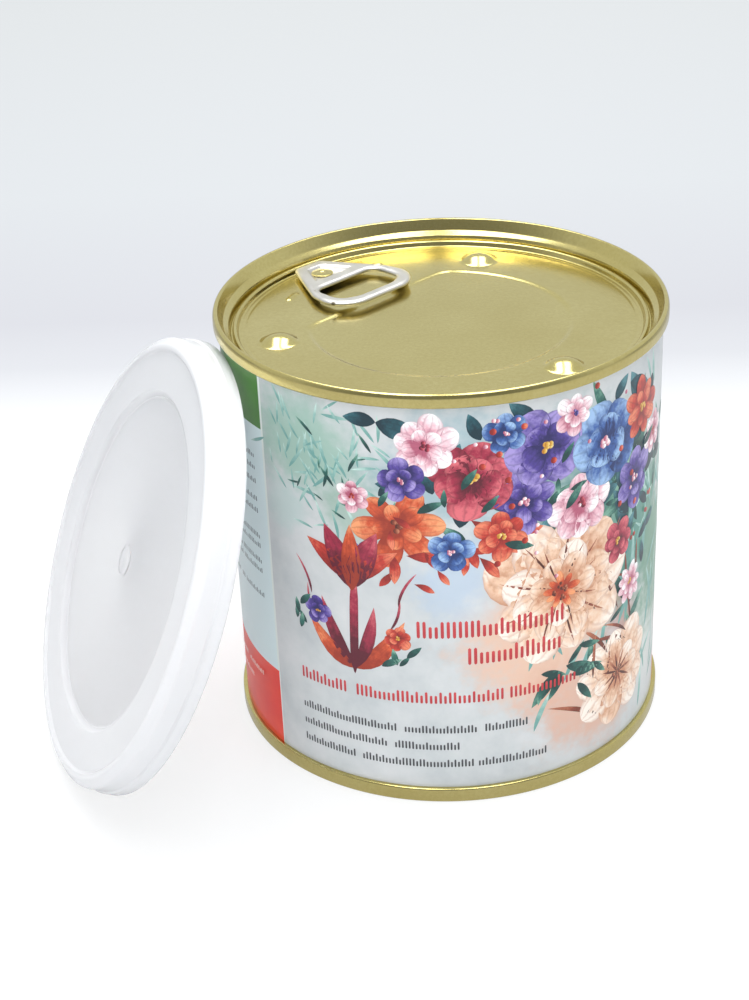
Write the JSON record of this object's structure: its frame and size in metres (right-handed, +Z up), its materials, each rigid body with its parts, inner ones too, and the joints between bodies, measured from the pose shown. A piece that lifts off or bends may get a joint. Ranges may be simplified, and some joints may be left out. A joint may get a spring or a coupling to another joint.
{
  "type": "nutritional drink powder tin with overcap",
  "caption": "Printed cylindrical steel food tin with a ring-pull easy-open end, and its clear plastic overcap leaning beside it.",
  "frame": {"origin": "centre of the can's foot ring, on the floor", "axes": "+Z up along the can's axis; -Y is the side that the front of the print faces; the overcap leans on the -X side"},
  "size_m": [0.1509, 0.1261, 0.1022],
  "materials": {
    "printed_tinplate": "glossy varnished lithographed tinplate",
    "gold_lacquer_steel": "gold-lacquered tinplate, glossy",
    "tab_steel": "bright rolled tinplate",
    "clear_polyethylene": "translucent natural polyethylene"
  },
  "bodies": {
    "root": {"tin_body": "printed_tinplate", "top_end": "gold_lacquer_steel", "bottom_end": "gold_lacquer_steel", "pull_tab": "tab_steel", "overcap": "clear_polyethylene"}
  },
  "joints": []
}
